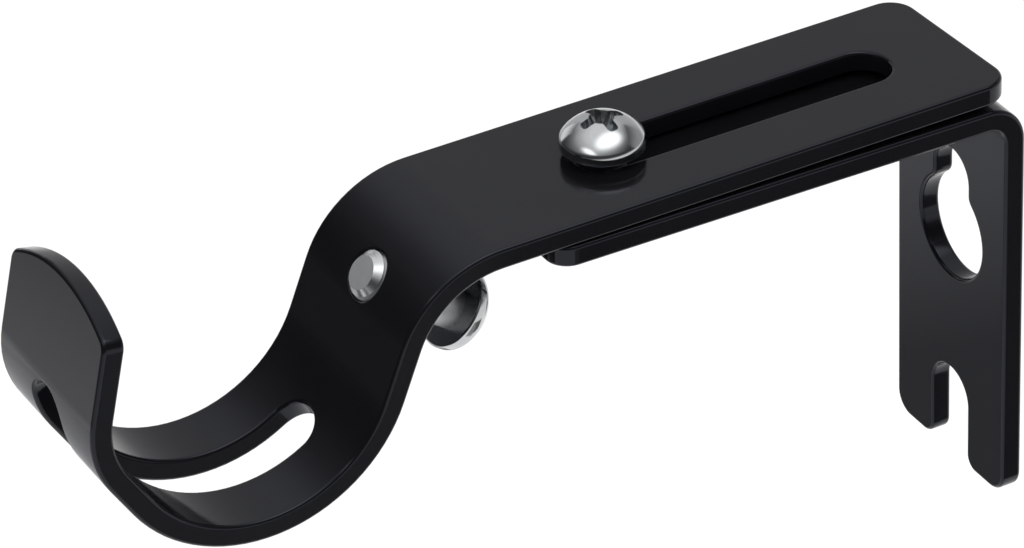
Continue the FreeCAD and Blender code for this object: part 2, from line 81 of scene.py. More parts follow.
log = logging.getLogger("curtain_pole_bracket")


class Slot(Enum):
    """Material slots of the record."""

    COAT = "black_coat"
    PLATING = "screw_plating"


def linear_colour(hex_code: str) -> tuple[float, float, float, float]:
    """Turn an sRGB hex colour into linear light.

    Args:
        hex_code: Colour such as "#1c1d1e".

    Returns:
        Linear red, green and blue with an alpha of 1.
    """
    channels = [int(hex_code[i:i + 2], 16) / 255 for i in (1, 3, 5)]
    red, green, blue = (c / 12.92 if c <= 0.04045 else ((c + 0.055) / 1.055) ** 2.4 for c in channels)
    return red, green, blue, 1.0


def new_material(name: str) -> bpy.types.Material:
    """Make a material whose node tree is still empty.

    Args:
        name: Name of the finish.

    Returns:
        The material.
    """
    material = bpy.data.materials.new(name)
    material.use_nodes = True
    material.node_tree.nodes.clear()
    return material


def add_node(
    tree: bpy.types.NodeTree,
    kind: str,
    settings: dict[str, object] | None = None,
    values: dict[str | int, object] | None = None,
    links: dict[str | int, bpy.types.NodeSocket] | None = None,
) -> bpy.types.Node:
    """Add one node with its settings, socket values and incoming links.

    Args:
        tree: Node tree that gets the node.
        kind: Type name of the node.
        settings: Properties of the node itself.
        values: Default values by the input's name, or by its place where names repeat.
        links: Output sockets to join, by the input's name or place.

    Returns:
        The new node.
    """
    node = tree.nodes.new(kind)
    for name, value in (settings or {}).items():
        setattr(node, name, value)
    for key, value in (values or {}).items():
        node.inputs[key].default_value = value
    for key, socket in (links or {}).items():
        tree.links.new(socket, node.inputs[key])
    return node


def object_place(tree: bpy.types.NodeTree) -> bpy.types.NodeSocket:
    """The shaded point's place on its object."""
    return add_node(tree, "ShaderNodeTexCoord").outputs["Object"]


def add_noise(
    tree: bpy.types.NodeTree, place: bpy.types.NodeSocket, period_mm: float, detail: float
) -> bpy.types.NodeSocket:
    """Add a noise pattern.

    Args:
        tree: Node tree that gets the pattern.
        place: Where the pattern is read.
        period_mm: Distance at which its features repeat.
        detail: How many finer layers it has.

    Returns:
        The pattern, from 0 to 1.
    """
    noise = add_node(
        tree, "ShaderNodeTexNoise", values={"Scale": 1 / (period_mm * MM), "Detail": detail},
        links={"Vector": place})
    return noise.outputs["Fac"]


def add_colour_mix(
    tree: bpy.types.NodeTree, share: bpy.types.NodeSocket, first: str, second: str
) -> bpy.types.NodeSocket:
    """Mix two colours.

    Args:
        tree: Node tree that gets the mix.
        share: Share of the second colour.
        first: Hex colour at a share of 0.
        second: Hex colour at a share of 1.

    Returns:
        The mixed colour.
    """
    mix = add_node(
        tree, "ShaderNodeMix", {"data_type": "RGBA"},
        values={MIX_FIRST: linear_colour(first), MIX_SECOND: linear_colour(second)},
        links={"Factor": share})
    return mix.outputs[MIX_RESULT]


def add_bump(
    tree: bpy.types.NodeTree, relief: bpy.types.NodeSocket, strength: float, depth_mm: float
) -> bpy.types.NodeSocket:
    """Turn a pattern into a faint relief.

    Args:
        tree: Node tree that gets the bump.
        relief: The pattern.
        strength: Share of the relief that shows.
        depth_mm: Its depth.

    Returns:
        The bumped normal.
    """
    bump = add_node(
        tree, "ShaderNodeBump", values={"Strength": strength, "Distance": depth_mm * MM},
        links={"Height": relief})
    return bump.outputs["Normal"]


def add_output(tree: bpy.types.NodeTree, surface: bpy.types.NodeSocket) -> None:
    """Join a shader to the material's surface."""
    add_node(tree, "ShaderNodeOutputMaterial", links={"Surface": surface})


@dataclass(frozen=True)
class BlackCoat:
    """Glossy black dip coat over pickled sheet steel.

    A thin cured film: smooth and dark, with a faint orange peel, and a little greyer where it pulls thin.
    """

    name: str = "black_dip_coat_on_steel"
    colour: str = "#0c0c0e"
    thin_colour: str = "#131316"
    sheen: str = "#e6edff"
    roughness: float = 0.11
    smoothest_share: float = 0.8
    roughest_share: float = 1.25
    ior: float = 1.36
    peel_mm: float = 1.6
    peel_depth_mm: float = 0.004
    peel_strength: float = 0.35
    grain_mm: float = 0.25
    cloud_mm: float = 9.0

    def build(self) -> bpy.types.Material:
        """Make the coat's material.

        Returns:
            The material.
        """
        material = new_material(self.name)
        tree = material.node_tree
        place = object_place(tree)
        clouds = add_noise(tree, place, self.cloud_mm, detail=3.0)
        peel = add_noise(tree, place, self.peel_mm, detail=1.0)
        grain = add_noise(tree, place, self.grain_mm, detail=2.0)
        gloss = add_node(
            tree, "ShaderNodeMapRange",
            values={
                "To Min": self.roughness * self.smoothest_share,
                "To Max": self.roughness * self.roughest_share,
            },
            links={"Value": grain})
        shader = add_node(
            tree, "ShaderNodeBsdfPrincipled",
            values={"IOR": self.ior, "Specular Tint": linear_colour(self.sheen)},
            links={
                "Base Color": add_colour_mix(tree, clouds, self.colour, self.thin_colour),
                "Roughness": gloss.outputs["Result"],
                "Normal": add_bump(tree, peel, self.peel_strength, self.peel_depth_mm),
            })
        add_output(tree, shader.outputs["BSDF"])
        return material


@dataclass(frozen=True)
class ZincPlate:
    """Bright zinc plate on cold headed steel: a clear silver with soft tumbling marks.

    The underside of the head, the shank and above all the sheared tip are duller. A value on each face says
    by how much.
    """

    name: str = "bright_zinc_plated_steel"
    colour: str = "#cfd1d2"
    dull_colour: str = "#b2b5b7"
    roughness: float = 0.13
    smoothest_share: float = 0.7
    roughest_share: float = 1.4
    dull_layer: str = "dull_faces"
    dullest_roughness: float = 0.75
    mark_mm: float = 0.6
    mark_depth_mm: float = 0.003
    mark_strength: float = 0.3
    cloud_mm: float = 2.5

    def build(self) -> bpy.types.Material:
        """Make the plating's material.

        Returns:
            The material.
        """
        material = new_material(self.name)
        tree = material.node_tree
        place = object_place(tree)
        clouds = add_noise(tree, place, self.cloud_mm, detail=4.0)
        marks = add_noise(tree, place, self.mark_mm, detail=3.0)
        gloss = add_node(
            tree, "ShaderNodeMapRange",
            values={
                "To Min": self.roughness * self.smoothest_share,
                "To Max": self.roughness * self.roughest_share,
            },
            links={"Value": clouds})
        dull_faces = add_node(tree, "ShaderNodeAttribute", {"attribute_name": self.dull_layer})
        roughness = add_node(
            tree, "ShaderNodeMapRange", values={"To Max": self.dullest_roughness},
            links={"Value": dull_faces.outputs["Fac"], "To Min": gloss.outputs["Result"]})
        shader = add_node(
            tree, "ShaderNodeBsdfPrincipled", values={"Metallic": 1.0},
            links={
                "Base Color": add_colour_mix(tree, clouds, self.colour, self.dull_colour),
                "Roughness": roughness.outputs["Result"],
                "Normal": add_bump(tree, marks, self.mark_strength, self.mark_depth_mm),
            })
        add_output(tree, shader.outputs["BSDF"])
        return material


def as_object(bm: bmesh.types.BMesh, name: str) -> bpy.types.Object:
    """Put a finished bmesh into a new object at the origin and free the bmesh.

    Args:
        bm: The mesh, where it belongs.
        name: Name of the object and of its mesh.

    Returns:
        The new object, linked to the scene.
    """
    mesh = bpy.data.meshes.new(name)
    bm.to_mesh(mesh)
    bm.free()
    piece = bpy.data.objects.new(name, mesh)
    bpy.context.scene.collection.objects.link(piece)
    return piece


def bevel_edges(
    bm: bmesh.types.BMesh,
    edges: list[bmesh.types.BMEdge],
    radius: float,
    steps: int,
    clamp: bool = True,
) -> None:
    """Round some edges.

    Args:
        bm: The mesh.
        edges: Its edges to round.
        radius: How far the round reaches on to each face, in the mesh's unit.
        steps: Faces across the round.
        clamp: Whether short edges nearby make it smaller.
    """
    bmesh.ops.bevel(
        bm, geom=edges, offset=radius, offset_type="OFFSET", segments=steps, profile=0.5, affect="EDGES",
        clamp_overlap=clamp, material=-1)


def turns_by_more(edge: bmesh.types.BMEdge, limit_degrees: float) -> bool:
    """Whether an edge's two faces turn by more than the limit."""
    return len(edge.link_faces) == 2 and edge.calc_face_angle() > math.radians(limit_degrees)


def shade_by_angle(bm: bmesh.types.BMesh, limit_degrees: float) -> None:
    """Shade the faces smooth, and keep an edge sharp where they turn by more than the limit.

    Args:
        bm: The mesh.
        limit_degrees: The limit.
    """
    limit = math.radians(limit_degrees)
    for face in bm.faces:
        face.smooth = True
    for edge in bm.edges:
        edge.smooth = len(edge.link_faces) == 2 and edge.calc_face_angle() < limit


def combine(base: bpy.types.Object, tool: bpy.types.Object, operation: str) -> bpy.types.Object:
    """Combine two closed meshes and remove both originals.

    Args:
        base: The mesh that is kept or cut.
        tool: The mesh that joins or cuts it.
        operation: UNION, DIFFERENCE or INTERSECT.

    Returns:
        A new object that has the base's name.
    """
    name = base.name
    cut = base.modifiers.new("cut", "BOOLEAN")
    cut.operation = operation
    cut.solver = "EXACT"
    cut.object = tool
    bpy.context.view_layer.update()
    graph = bpy.context.evaluated_depsgraph_get()
    mesh = bpy.data.meshes.new_from_object(base.evaluated_get(graph))
    bpy.data.objects.remove(base)
    bpy.data.objects.remove(tool)
    result = bpy.data.objects.new(name, mesh)
    bpy.context.scene.collection.objects.link(result)
    return result


def finish_piece(
    piece: bpy.types.Object, node: str, body: str, material: bpy.types.Material
) -> None:
    """Give a piece its material, its body and the solid that it stands for.

    Args:
        piece: The piece, in place.
        node: The solid that the piece replaces.
        body: The body that the piece rides on.
        material: Its finish.
    """
    piece.data.materials.clear()
    piece.data.materials.append(material)
    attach(piece, body)
    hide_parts(node)
    log.info("%s stands for %s: %d faces", piece.name, node, len(piece.data.polygons))


@dataclass
class SteelStrip:
    """A bent strip of sheet steel: the solid's own shape with its cut edges tumbled round.

    Attributes:
        node: The strip's solid, and the body that it rides on.
        name: Name of the finished strip.
    """

    node: str
    name: str
    edge_radius_mm: float = 0.4
    edge_steps: int = 5
    merge_mm: float = 0.001
    sharp_degrees: float = 40.0
    flat_degrees: float = 0.3

    def build(self, coat: bpy.types.Material) -> None:
        """Round the edges of a merged copy of the solid.

        Args:
            coat: The strip's finish.
        """
        bm = bmesh.new()
        bm.from_mesh(frame["nodes"][self.node].data)
        bmesh.ops.remove_doubles(bm, verts=bm.verts, dist=self.merge_mm * MM)
        bmesh.ops.dissolve_limit(
            bm, angle_limit=math.radians(self.flat_degrees), verts=bm.verts, edges=bm.edges)
        sharp = [edge for edge in bm.edges if turns_by_more(edge, self.sharp_degrees)]
        bevel_edges(bm, sharp, self.edge_radius_mm * MM, self.edge_steps, clamp=False)
        shade_by_angle(bm, self.sharp_degrees)
        strip = as_object(bm, self.name)
        normals = strip.modifiers.new("even_normals", "WEIGHTED_NORMAL")
        normals.keep_sharp = True
        finish_piece(strip, self.node, self.node, coat)


@dataclass
class PanHeadScrew:
    """Pan head machine screw with a cross recess and a rolled thread. Sizes in millimetres.

    It is built upright, with the seat of its head at height 0, and then put where its solid is.

    Attributes:
        node: The screw's solid, and the body that it rides on.
        name: Name of the finished screw.
        outward: Unit axis from the tip to the head.
        plain_length: Length of the smooth neck between the head and the thread.
    """

    node: str
    name: str
    outward: Vector
    plain_length: float = 3.0
    head_height: float = 3.4
    head_rim: float = 1.1
    rim_share: float = 0.9
    rim_round: float = 0.28
    rim_steps: int = 4
    rim_degrees: float = 25.0
    dome_steps: int = 14
    thread_diameter: float = 5.0
    thread_pitch: float = 0.8
    thread_depth: float = 0.45
    flank_share: float = 0.38
    crest_share: float = 0.12
    neck_overlap: float = 0.3
    neck_core_inset: float = 0.1
    neck_core_length: float = 0.2
    neck_run_out: float = 0.5
    tip_chamfer: float = 0.75
    recess_span: float = 4.7
    recess_width: float = 1.2
    recess_depth: float = 2.2
    recess_taper: float = 0.5
    recess_turn_degrees: float = 3.0
    wing_full_depth: float = 0.5
    wing_narrowing: float = 0.1
    wing_corner: float = 0.4
    wing_corner_steps: int = 5
    cone_tip_radius: float = 0.2
    cone_share: float = 1.55
    cone_steps: int = 32
    overshoot: float = 1.0
    shank_dullness: float = 0.6
    chamfer_dullness: float = 0.2
    underside_dullness: float = 0.12
    tolerance: float = 0.02
    weld_distance: float = 1e-4
    thread_weld_distance: float = 1e-3
    plane_tolerance: float = 1e-5
    smooth_degrees: float = 35.0
    turn_steps: int = 96

    def __post_init__(self) -> None:
        """Read the screw's place, length and head from its solid."""
        points = [v.co for v in frame["nodes"][self.node].data.vertices]
        heights = [p.dot(self.outward) / MM for p in points]
        self.length = max(heights) - min(heights) - self.head_height
        low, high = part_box(self.node)
        middle = (low + high) / 2
        rise = max(heights) - self.head_height - middle.dot(self.outward) / MM
        self.place = self._axis_point(points, middle, rise)
        self.head_radius = (high.x - low.x) / 2 / MM
        self.crest = self.thread_diameter / 2
        self.root = self.crest - self.thread_depth

    def _axis_point(self, points: list[Vector], near: Vector, rise: float) -> Vector:
        """Find the point of the axis that lies at the seat of the head.

        Args:
            points: The solid's corners.
            near: A point that is roughly on the axis.
            rise: How far the seat lies above that point, in millimetres along the axis.

        Returns:
            The point, in metres.
        """
        across = self.outward.cross(Vector((1, 0, 0))).normalized()
        offsets = [(p - near).dot(across) for p in points]
        return near + across * (min(offsets) + max(offsets)) / 2 + self.outward * rise * MM

    def _turned(self, corners: list[tuple[float, float]]) -> bmesh.types.BMesh:
        """Spin an open half profile about the screw's axis.

        Args:
            corners: Radius and height of each corner of the profile.

        Returns:
            The closed turned mesh.
        """
        bm = bmesh.new()
        verts = [bm.verts.new((radius, 0, height)) for radius, height in corners]
        edges = [bm.edges.new(pair) for pair in zip(verts, verts[1:])]
        bmesh.ops.spin(
            bm, geom=verts + edges, cent=(0, 0, 0), axis=(0, 0, 1), angle=2 * math.pi,
            steps=self.turn_steps, use_merge=True)
        bmesh.ops.remove_doubles(bm, verts=bm.verts, dist=self.weld_distance)
        bmesh.ops.recalc_face_normals(bm, faces=bm.faces)
        return bm

    def _head(self) -> bpy.types.Object:
        """Turn the head, with a domed top and rounded rim, and the smooth neck under it.

        Returns:
            The head and neck.
        """
        rise = self.head_height - self.head_rim
        crown = (self.head_radius ** 2 + rise ** 2) / (2 * rise)
        half_angle = math.asin(self.head_radius / crown)
        angles = [half_angle * k / self.dome_steps for k in range(self.dome_steps, -1, -1)]
        dome = [(crown * math.sin(a), self.head_height - crown + crown * math.cos(a)) for a in angles]
        core = self.root - self.neck_core_inset
        neck = self.crest - self.thread_depth / 2
        foot = -self.plain_length - self.neck_overlap
        bm = self._turned([
            (0.0, foot), (core, foot), (core, foot + self.neck_core_length),
            (neck, foot + self.neck_run_out), (neck, 0.0), (self.head_radius, 0.0)] + dome)
        least_radius = self.head_radius * self.rim_share
        rims = [
            edge for edge in bm.edges
            if turns_by_more(edge, self.rim_degrees) and edge.verts[0].co.xy.length > least_radius]
        bevel_edges(bm, rims, self.rim_round, self.rim_steps)
        return as_object(bm, self.name)

    def _wing_cutter(self, turn: float) -> bpy.types.Object:
        """One pair of tapered wings of the cross recess, full span where they leave the dome.

        Args:
            turn: How far the pair is turned about the axis, in radians.

        Returns:
            The cutter.
        """
        bm = bmesh.new()
        bmesh.ops.create_cube(bm, size=1)
        for vert in bm.verts:
            below = -self.overshoot if vert.co.z > 0 else self.recess_depth
            vert.co.x *= self.recess_span - 2 * self.recess_taper * (below - self.wing_full_depth)
            vert.co.y *= self.recess_width * (1.0 - self.wing_narrowing * below)
            vert.co.z = self.head_height - below
        upright = [e for e in bm.edges if abs(e.verts[0].co.z - e.verts[1].co.z) > self.overshoot]
        bevel_edges(bm, upright, self.wing_corner, self.wing_corner_steps)
        bmesh.ops.rotate(bm, verts=bm.verts, cent=(0, 0, 0), matrix=Matrix.Rotation(turn, 3, "Z"))
        return as_object(bm, self.name + "_wing")

    def _centre_cutter(self) -> bpy.types.Object:
        """The cone at the middle of the cross recess, which takes the corners off between its wings.

        Returns:
            The cutter.
        """
        bm = bmesh.new()
        bmesh.ops.create_cone(
            bm, cap_ends=True, segments=self.cone_steps, radius1=self.cone_tip_radius,
            radius2=self.recess_width * self.cone_share, depth=self.recess_depth + self.overshoot)
        middle = self.head_height + (self.overshoot - self.recess_depth) / 2
        bmesh.ops.translate(bm, verts=bm.verts, vec=(0, 0, middle))
        return as_object(bm, self.name + "_cone")

    def _thread(self, top: float) -> bpy.types.Object:
        """Wind the thread as one helical band and close it at both ends.

        Args:
            top: Height at which the thread starts.

        Returns:
            The thread, down to the tip.
        """
        pitch = self.thread_pitch
        spare_turns = 2
        turns = int((self.length + top) / pitch) + 2 * spare_turns
        starts = [top + spare_turns * pitch - k * pitch for k in range(turns)]
        flank, crest_end = self.flank_share, self.flank_share + self.crest_share
        form = (
            (self.root, 0.0), (self.crest, flank), (self.crest, crest_end), (self.root, flank + crest_end))
        bm = bmesh.new()
        verts = [
            bm.verts.new((radius, 0, start - drop * pitch)) for start in starts for radius, drop in form]
        edges = [bm.edges.new(pair) for pair in zip(verts, verts[1:])]
        steps = self.turn_steps // 2
        bmesh.ops.spin(
            bm, geom=verts + edges, cent=(0, 0, 0), axis=(0, 0, 1), dvec=(0, 0, -pitch / steps),
            angle=2 * math.pi, steps=steps, use_merge=False)
        bmesh.ops.remove_doubles(bm, verts=bm.verts, dist=self.thread_weld_distance)
        for height, outside in ((top, (0, 0, 1)), (-self.length, (0, 0, -1))):
            cut = bmesh.ops.bisect_plane(
                bm, geom=bm.verts[:] + bm.edges[:] + bm.faces[:], dist=self.plane_tolerance,
                plane_co=(0, 0, height), plane_no=outside, clear_outer=True)
            rim = [e for e in cut["geom_cut"] if isinstance(e, bmesh.types.BMEdge)]
            bmesh.ops.edgeloop_fill(bm, edges=rim)
        bmesh.ops.recalc_face_normals(bm, faces=bm.faces)
        return as_object(bm, self.name + "_thread")

    def _threaded_shank(self) -> bpy.types.Object:
        """Trim the thread to the screw's length and chamfer its tip.

        Returns:
            The threaded shank.
        """
        top = -self.plain_length
        outside = self.crest + self.tolerance
        envelope = self._turned([
            (0.0, top + self.overshoot), (outside, top + self.overshoot),
            (outside, self.tip_chamfer - self.length), (self.crest - self.tip_chamfer, -self.length),
            (0.0, -self.length)])
        return combine(self._thread(top), as_object(envelope, self.name + "_envelope"), "INTERSECT")

    def _mark_dull_faces(self, bm: bmesh.types.BMesh) -> None:
        """Mark how dull the plate is: bright on the head, dull on the shank, and dullest on the cut tip.

        Args:
            bm: The finished screw, still upright.
        """
        layer = bm.faces.layers.float.new(ZincPlate.dull_layer)
        for face in bm.faces:
            height = face.calc_center_median().z
            if height < self.tolerance - self.length:
                face[layer] = 1.0
            elif height < self.tip_chamfer - self.length:
                face[layer] = self.chamfer_dullness
            elif height < -self.tolerance:
                face[layer] = self.shank_dullness
            elif height < self.tolerance:
                face[layer] = self.underside_dullness

    def build(self, plating: bpy.types.Material) -> None:
        """Join the head and the shank, sink the recess and put the screw in its place.

        Args:
            plating: The screw's finish.
        """
        screw = combine(self._head(), self._threaded_shank(), "UNION")
        turn = math.radians(self.recess_turn_degrees)
        cutters = (self._wing_cutter(turn), self._wing_cutter(turn + math.pi / 2), self._centre_cutter())
        for cutter in cutters:
            screw = combine(screw, cutter, "DIFFERENCE")
        bm = bmesh.new()
        bm.from_mesh(screw.data)
        bpy.data.objects.remove(screw)
        bmesh.ops.remove_doubles(bm, verts=bm.verts, dist=self.weld_distance)
        self._mark_dull_faces(bm)
        bmesh.ops.scale(bm, verts=bm.verts, vec=(MM, MM, MM))
        upright = Vector((0, 0, 1)).rotation_difference(self.outward).to_matrix().to_4x4()
        bmesh.ops.transform(bm, matrix=Matrix.Translation(self.place) @ upright, verts=bm.verts)
        shade_by_angle(bm, self.smooth_degrees)
        finish_piece(as_object(bm, self.name), self.node, self.node, plating)


@dataclass
class PhotoCamera:
    """The camera of the photograph: a long lens that looks down on the bracket from its right front.

    Its angles are in degrees, and its nearest and farthest sight in metres.

    Attributes:
        target_mm: The point at the middle of the picture.
        focal_pixels: Focal length in pixels of the picture.
    """

    target_mm: Vector
    azimuth: float = 61.96
    elevation: float = 32.88
    roll: float = -2.47
    distance_mm: float = 562.1
    focal_pixels: float = 5732.0
    sensor_mm: float = 36.0
    nearest: float = 0.01
    farthest: float = 20.0

    def build(self) -> None:
        """Place the camera and make it the scene's own."""
        turn, lift = math.radians(self.azimuth), math.radians(self.elevation)
        back = Vector((math.sin(turn) * math.cos(lift), -math.cos(turn) * math.cos(lift), math.sin(lift)))
        data = bpy.data.cameras.new("photo_camera")
        data.sensor_width = self.sensor_mm
        data.lens = self.focal_pixels / IMAGE_WIDTH * self.sensor_mm
        data.clip_start = self.nearest
        data.clip_end = self.farthest
        camera = bpy.data.objects.new("photo_camera", data)
        bpy.context.scene.collection.objects.link(camera)
        upright = (-back).to_track_quat("-Z", "Y").to_matrix().to_4x4()
        place = Matrix.Translation((self.target_mm + back * self.distance_mm) * MM)
        camera.matrix_world = place @ upright @ Matrix.Rotation(math.radians(self.roll), 4, "Z")
        bpy.context.scene.camera = camera


@dataclass(frozen=True)
class SoftBox:
    """A lamp behind diffusing cloth, bright in the middle and fading to its edges. Metres.

    Attributes:
        towards: Direction from the bracket to the lamp.
        radiance: Brightness at the middle of its cloth.
    """

    name: str
    towards: Vector
    distance: float
    width: float
    height: float
    radiance: float
    bright_core: float = 0.05

    def build(self) -> None:
        """Hang the box so that it faces the bracket."""
        data = bpy.data.lights.new(self.name, "AREA")
        data.shape = "RECTANGLE"
        data.size = self.width
        data.size_y = self.height
        data.energy = self.radiance * math.pi * self.width * self.height
        data.use_nodes = True
        tree = data.node_tree
        tree.nodes.clear()
        spot = add_node(tree, "ShaderNodeNewGeometry").outputs["Parametric"]
        off_centre = add_node(
            tree, "ShaderNodeVectorMath", {"operation": "DISTANCE"}, values={1: (0.5, 0.5, 0.0)},
            links={0: spot})
        cloth = add_node(
            tree, "ShaderNodeMapRange", {"interpolation_type": "SMOOTHSTEP"},
            values={"From Min": self.bright_core, "From Max": 0.5, "To Min": 1.0, "To Max": 0.0},
            links={"Value": off_centre.outputs["Value"]})
        glow = add_node(tree, "ShaderNodeEmission", links={"Strength": cloth.outputs["Result"]})
        add_node(tree, "ShaderNodeOutputLight", links={"Surface": glow.outputs["Emission"]})
        lamp = bpy.data.objects.new(self.name, data)
        bpy.context.scene.collection.objects.link(lamp)
        towards = self.towards.normalized()
        turn = towards.to_track_quat("Z", "Y").to_matrix().to_4x4()
        lamp.matrix_world = Matrix.Translation(towards * self.distance) @ turn


def background_rays(tree: bpy.types.NodeTree) -> bpy.types.NodeSocket:
    """Mask of the rays that see the background: straight, mirrored or through something clear.

    Args:
        tree: Node tree that gets the mask.

    Returns:
        The mask, 1 for those rays.
    """
    ray = add_node(tree, "ShaderNodeLightPath").outputs
    direct = add_node(
        tree, "ShaderNodeMath", {"operation": "MAXIMUM"},
        links={0: ray["Is Camera Ray"], 1: ray["Is Glossy Ray"]})
    seen = add_node(
        tree, "ShaderNodeMath", {"operation": "MAXIMUM"},
        links={0: direct.outputs["Value"], 1: ray["Is Transmission Ray"]})
    return seen.outputs["Value"]


def stand_unseen(thing: bpy.types.Object, material: bpy.types.Material) -> None:
    """Dress a wall or board of the studio, and let nothing but the gloss see it.

    Args:
        thing: The wall or board.
        material: Its paint.
    """
    thing.data.materials.append(material)
    thing.visible_camera = False
    thing.visible_diffuse = False
    thing.visible_shadow = False
    thing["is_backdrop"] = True


@dataclass(frozen=True)
class Board:
    """A plain board beside the bracket, out of the camera's sight, that its gloss mirrors. Millimetres.

    Attributes:
        facing: Direction that its painted side faces.
        foot_colour: Its paint at the lower of the fade's heights and below.
        head_colour: Its paint at the upper one and above.
        fade_heights: Heights between which the paint changes.
    """

    name: str
    centre: Vector
    width: float
    height: float
    facing: Vector
    foot_colour: str
    head_colour: str
    fade_heights: tuple[float, float]

    def _paint(self) -> bpy.types.Material:
        """Matt paint that changes evenly from the foot's colour to the head's.

        Returns:
            The paint.
        """
        material = new_material(self.name + "_paint")
        tree = material.node_tree
        place = add_node(tree, "ShaderNodeSeparateXYZ", links={"Vector": object_place(tree)})
        low, high = self.fade_heights
        level = add_node(
            tree, "ShaderNodeMapRange", values={"From Min": low * MM, "From Max": high * MM},
            links={"Value": place.outputs["Z"]})
        paint = add_colour_mix(tree, level.outputs["Result"], self.foot_colour, self.head_colour)
        matt = add_node(tree, "ShaderNodeBsdfDiffuse", links={"Color": paint})
        add_output(tree, matt.outputs["BSDF"])
        return material

    def build(self) -> None:
        """Stand the board in its place."""
        bm = bmesh.new()
        bmesh.ops.create_grid(bm, x_segments=1, y_segments=1, size=0.5)
        bmesh.ops.scale(bm, vec=(self.width * MM, self.height * MM, 1), verts=bm.verts)
        turn = self.facing.to_track_quat("Z", "Y").to_matrix().to_4x4()
        bmesh.ops.transform(bm, matrix=Matrix.Translation(self.centre * MM) @ turn, verts=bm.verts)
        stand_unseen(as_object(bm, self.name), self._paint())


@dataclass(frozen=True)
class DarkRoom:
    """A dark round wall about the bracket, which the gloss mirrors as the black of its bends. Metres.

    The dark fades out towards the floor and the sky. It reaches a little lower on one side, and it is thinner
    on another.

    Attributes:
        low_side_degrees: Direction of the side on which the dark reaches lower.
        fade: Height and density of each stop of the fade.
        open_side_degrees: Direction of the side on which the dark is thinner.
        open_cosines: How far off that direction the thinning starts, and where it is full, as cosines.
        open_density: Share of the dark that is left there.
    """

    radius: float = 0.5
    colour: str = "#0b0b0c"
    steps: int = 96
    tilt: float = 0.22
    low_side_degrees: float = 232.0
    fade: tuple[tuple[float, float], ...] = (
        (-0.06, 0.0), (-0.02, 0.25), (0.03, 0.97), (0.26, 0.97), (0.42, 0.8), (0.56, 0.5), (0.95, 0.0))
    open_side_degrees: float = 152.0
    open_cosines: tuple[float, float] = (0.5, 0.92)
    open_density: float = 0.45

    def _dot(self, tree: bpy.types.NodeTree, vector: tuple[float, float, float]) -> bpy.types.NodeSocket:
        """Measure the shaded point along a vector.

        Args:
            tree: Node tree that gets the measure.
            vector: The vector.

        Returns:
            The dot product of the point's place and the vector.
        """
        dot = add_node(
            tree, "ShaderNodeVectorMath", {"operation": "DOT_PRODUCT"}, values={1: vector},
            links={0: object_place(tree)})
        return dot.outputs["Value"]

    def _faded(self, tree: bpy.types.NodeTree) -> bpy.types.NodeSocket:
        """Density of the dark by height above a tilted floor.

        Args:
            tree: Node tree that gets the fade.

        Returns:
            The density.
        """
        low_side = math.radians(self.low_side_degrees)
        upright = (self.tilt * math.cos(low_side), self.tilt * math.sin(low_side), 1.0)
        bottom, top = self.fade[0][0], self.fade[-1][0]
        height = add_node(
            tree, "ShaderNodeMapRange", values={"From Min": bottom, "From Max": top},
            links={"Value": self._dot(tree, upright)})
        ramp = add_node(tree, "ShaderNodeValToRGB", links={"Fac": height.outputs["Result"]})
        ramp.color_ramp.interpolation = "B_SPLINE"
        stops = ramp.color_ramp.elements
        for level, _ in self.fade[1:-1]:
            stops.new((level - bottom) / (top - bottom))
        for stop, (_, density) in zip(stops, self.fade):
            stop.color = (density, density, density, 1)
        return ramp.outputs["Color"]

    def _opened(self, tree: bpy.types.NodeTree) -> bpy.types.NodeSocket:
        """Share of the dark that is left towards the open side.

        Args:
            tree: Node tree that gets the share.

        Returns:
            The share.
        """
        side = math.radians(self.open_side_degrees)
        outward = (math.cos(side) / self.radius, math.sin(side) / self.radius, 0.0)
        opening = add_node(
            tree, "ShaderNodeMapRange", {"interpolation_type": "SMOOTHSTEP"},
            values={
                "From Min": self.open_cosines[0], "From Max": self.open_cosines[1],
                "To Min": 1.0, "To Max": self.open_density,
            },
            links={"Value": self._dot(tree, outward)})
        return opening.outputs["Result"]

    def _paint(self) -> bpy.types.Material:
        """Dark matt paint that lets the light through where the dark is thin.

        Returns:
            The paint.
        """
        material = new_material("dark_room_paint")
        tree = material.node_tree
        density = add_node(
            tree, "ShaderNodeMath", {"operation": "MULTIPLY"},
            links={0: self._faded(tree), 1: self._opened(tree)})
        clear = add_node(tree, "ShaderNodeBsdfTransparent")
        dark = add_node(tree, "ShaderNodeBsdfDiffuse", values={"Color": linear_colour(self.colour)})
        mix = add_node(
            tree, "ShaderNodeMixShader",
            links={"Fac": density.outputs["Value"], 1: clear.outputs["BSDF"], 2: dark.outputs["BSDF"]})
        add_output(tree, mix.outputs["Shader"])
        return material

    def build(self) -> None:
        """Stand the wall round the bracket."""
        bm = bmesh.new()
        lift = self.tilt * self.radius
        bottom, top = self.fade[0][0] - lift, self.fade[-1][0] + lift
        post = [bm.verts.new((self.radius, 0, height)) for height in (bottom, top)]
        edge = bm.edges.new(post)
        bmesh.ops.spin(
            bm, geom=post + [edge], cent=(0, 0, 0), axis=(0, 0, 1), angle=2 * math.pi, steps=self.steps,
            use_merge=True)
        stand_unseen(as_object(bm, "dark_room_wall"), self._paint())


